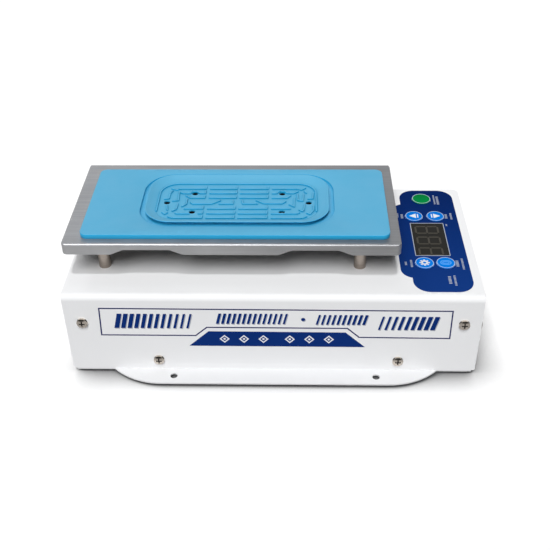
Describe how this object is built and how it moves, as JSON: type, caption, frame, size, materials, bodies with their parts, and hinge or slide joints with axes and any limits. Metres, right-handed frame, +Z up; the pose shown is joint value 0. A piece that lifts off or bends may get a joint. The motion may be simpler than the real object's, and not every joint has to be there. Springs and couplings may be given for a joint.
{
  "type": "screen separator",
  "caption": "Heated suction plate with a silicone mat on pillars over a sheet-steel case with keys, display, pump and mains inlet.",
  "frame": {"origin": "centre of the overall box at the underside of the rubber feet", "axes": "+X to the right along the front, +Y from the front to the back, +Z up"},
  "size_m": [0.3044, 0.1768, 0.1107],
  "materials": {
    "white_steel": "white powder coat, satin",
    "zinc_steel": "zinc-plated sheet",
    "plate_metal": "brushed, bright along the fold",
    "pillar_metal": "turned",
    "screw_metal": "nickel plate",
    "black_rubber": "matte",
    "blue_silicone": "moulded, matte",
    "clear_silicone": "smooth",
    "overlay_print": "printed polyester film",
    "smoked_window": "smoked, clear gloss",
    "green_key": "printed film over a dome",
    "blue_key": "printed film over a dome",
    "black_plastic": "moulded, fine grain",
    "red_plastic": "moulded",
    "white_plastic": "moulded",
    "green_plastic": "moulded",
    "blue_plastic": "moulded",
    "circuit_board": "solder resist over glass laminate",
    "copper_winding": "enamelled wire",
    "core_iron": "laminated",
    "anodised_black": "anodised",
    "heater_rubber": "glass-cloth pattern",
    "mica_board": "pressed board",
    "cast_aluminium": "cast, milled faces",
    "red_gasket": "silicone sheet",
    "brass": "turned",
    "lead_sleeve": "silicone insulation",
    "white_sleeve": "braided sleeve",
    "fuse_metal": "nickel plate"
  },
  "bodies": {
    "case": {"base_tray": "white_steel", "top_cover": "white_steel", "rear_panel": "white_steel", "corner_brackets": "zinc_steel", "case_screws": "screw_metal", "rubber_feet": "black_rubber", "hot_plate": "plate_metal", "plate_pillars": "pillar_metal", "plate_screws": "screw_metal", "pillar_screws": "screw_metal", "heater_pad": "heater_rubber", "insulation_board": "mica_board", "vacuum_manifold": "cast_aluminium", "manifold_gasket": "red_gasket", "manifold_screws": "screw_metal", "hose_barb": "brass", "vacuum_hose": "clear_silicone", "case_grommets": "black_rubber", "thermal_cutout": "zinc_steel", "cutout_screws": "screw_metal", "heater_leads": "white_sleeve", "control_overlay": "overlay_print", "display_window": "smoked_window", "display_module": "black_plastic", "control_board": "circuit_board", "board_spacers": "brass", "board_screws": "screw_metal", "tact_switches": "black_plastic", "panel_ribbon": "white_plastic", "board_sockets": "white_plastic", "power_board": "circuit_board", "power_board_spacers": "white_plastic", "transformer_core": "core_iron", "transformer_winding": "copper_winding", "heat_sink": "anodised_black", "triac": "black_plastic", "board_relay": "blue_plastic", "filter_capacitors": "blue_plastic", "terminal_block": "green_plastic", "mains_inlet": "black_plastic", "inlet_blades": "fuse_metal", "switch_body": "black_plastic", "internal_leads": "lead_sleeve", "pump_frame": "zinc_steel", "pump_cores": "core_iron", "pump_coils": "copper_winding", "pump_diaphragms": "black_rubber", "pump_head": "white_plastic", "pump_end_cap": "white_plastic", "pump_dampers": "black_rubber"},
    "mat": {"silicone_mat": "blue_silicone"},
    "power_button": {"power_key": "green_key"},
    "lower_button": {"lower_key": "blue_key"},
    "raise_button": {"raise_key": "blue_key"},
    "set_button": {"set_key": "blue_key"},
    "pump_button": {"pump_key": "blue_key"},
    "drawer": {"fuse_drawer": "black_plastic", "inlet_fuse": "fuse_metal"},
    "rocker": {"switch_rocker": "red_plastic"},
    "armature": {"pump_armature": "zinc_steel"}
  },
  "joints": [
    {"name": "mat_lift", "type": "slide", "parent": "case", "child": "mat", "axis": [0, 0, 1], "range_m": [0, 0.06]},
    {"name": "power_press", "type": "slide", "parent": "case", "child": "power_button", "axis": [0, 0, -1], "range_m": [0, 0.0004], "stiffness_N_per_m": 900},
    {"name": "lower_press", "type": "slide", "parent": "case", "child": "lower_button", "axis": [0, 0, -1], "range_m": [0, 0.0004], "stiffness_N_per_m": 900},
    {"name": "raise_press", "type": "slide", "parent": "case", "child": "raise_button", "axis": [0, 0, -1], "range_m": [0, 0.0004], "stiffness_N_per_m": 900},
    {"name": "set_press", "type": "slide", "parent": "case", "child": "set_button", "axis": [0, 0, -1], "range_m": [0, 0.0004], "stiffness_N_per_m": 900},
    {"name": "pump_press", "type": "slide", "parent": "case", "child": "pump_button", "axis": [0, 0, -1], "range_m": [0, 0.0004], "stiffness_N_per_m": 900},
    {"name": "drawer_pull", "type": "slide", "parent": "case", "child": "drawer", "axis": [0, 1, 0], "range_m": [0, 0.012]},
    {"name": "rocker_tilt", "type": "hinge", "parent": "case", "child": "rocker", "pos_m": [0.05, 0.06935, 0.03633], "axis": [-1, 0, 0], "range_deg": [0, 22]},
    {"name": "armature_stroke", "type": "slide", "parent": "case", "child": "armature", "axis": [1, 0, 0], "range_m": [-0.0015, 0.0015], "stiffness_N_per_m": 2000}
  ]
}
